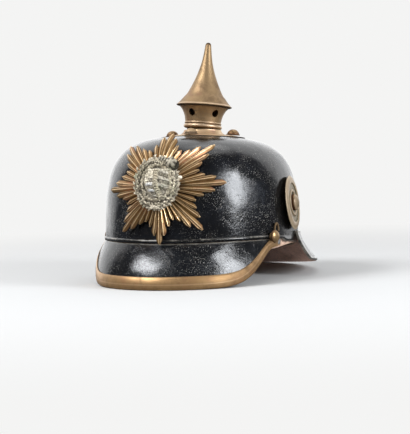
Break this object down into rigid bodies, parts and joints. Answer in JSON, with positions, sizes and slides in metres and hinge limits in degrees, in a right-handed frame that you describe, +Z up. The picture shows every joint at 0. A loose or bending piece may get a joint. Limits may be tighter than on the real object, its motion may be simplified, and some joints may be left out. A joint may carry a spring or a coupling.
{
  "type": "spiked helmet",
  "caption": "Black leather helmet with a turned brass spike on a round base plate, front and rear visors, a brass visor trim, a rayed front plate with a wreathed shield, and a side cockade.",
  "frame": {"origin": "middle of the bounding box, on the surface that the helmet rests on", "axes": "+Z up with the helmet at rest on its visor trim and rear visor, -Y the helmet's front, +X the wearer's left"},
  "size_m": [0.205, 0.281, 0.2198],
  "materials": {
    "leather_black": "glossy black varnish, dusty and finely crazed",
    "sweatband_hide": "bare brown hide, worn matt",
    "brass": "aged brass, half polished",
    "ray_brass": "warm reddish stamped brass, dark in its grooves",
    "white_metal": "dull white metal, tarnished in its hollows",
    "cockade_metal": "worn tan paint over metal with a dark ring"
  },
  "bodies": {
    "root": {"shell": "leather_black", "front_visor": "leather_black", "visor_trim": "brass", "rear_visor": "leather_black", "sweatband": "sweatband_hide", "base_plate": "brass", "plate_stud_right": "brass", "plate_stud_front": "brass", "plate_stud_left": "brass", "plate_stud_back": "brass", "spike_neck": "brass", "spike_point": "brass", "star_plate": "ray_brass", "wreath_badge": "white_metal", "cockade": "cockade_metal", "cockade_screw": "brass", "side_stud_left": "brass", "side_stud_right": "brass", "side_lug_left": "brass"}
  },
  "joints": []
}
